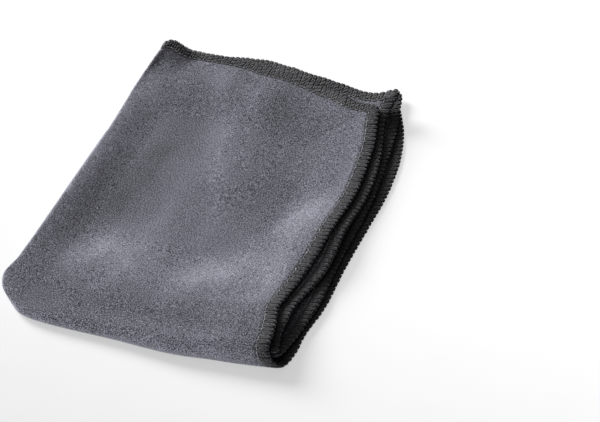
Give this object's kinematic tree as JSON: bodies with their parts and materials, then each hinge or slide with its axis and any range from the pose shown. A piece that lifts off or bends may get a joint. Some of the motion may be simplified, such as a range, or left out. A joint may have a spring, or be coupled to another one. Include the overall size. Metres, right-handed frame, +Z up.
{
  "type": "folded microfibre cloth",
  "caption": "Suede-like microfibre cleaning cloth with an overlocked hem, folded in quarters and lying flat, its soft folds at the left and the front.",
  "frame": {"origin": "middle of the underside, on the surface that the cloth lies on", "axes": "+Z up out of the layers, +Y away from the front fold along the packet's long side, +X from the left fold to the open hems"},
  "size_m": [0.1695, 0.2236, 0.0168],
  "materials": {
    "fabric": "mid grey suede-like microfibre with a short soft nap",
    "edging": "charcoal overlock thread, ribbed, slightly shiny"
  },
  "bodies": {
    "root": {"cloth": "fabric"}
  },
  "joints": []
}
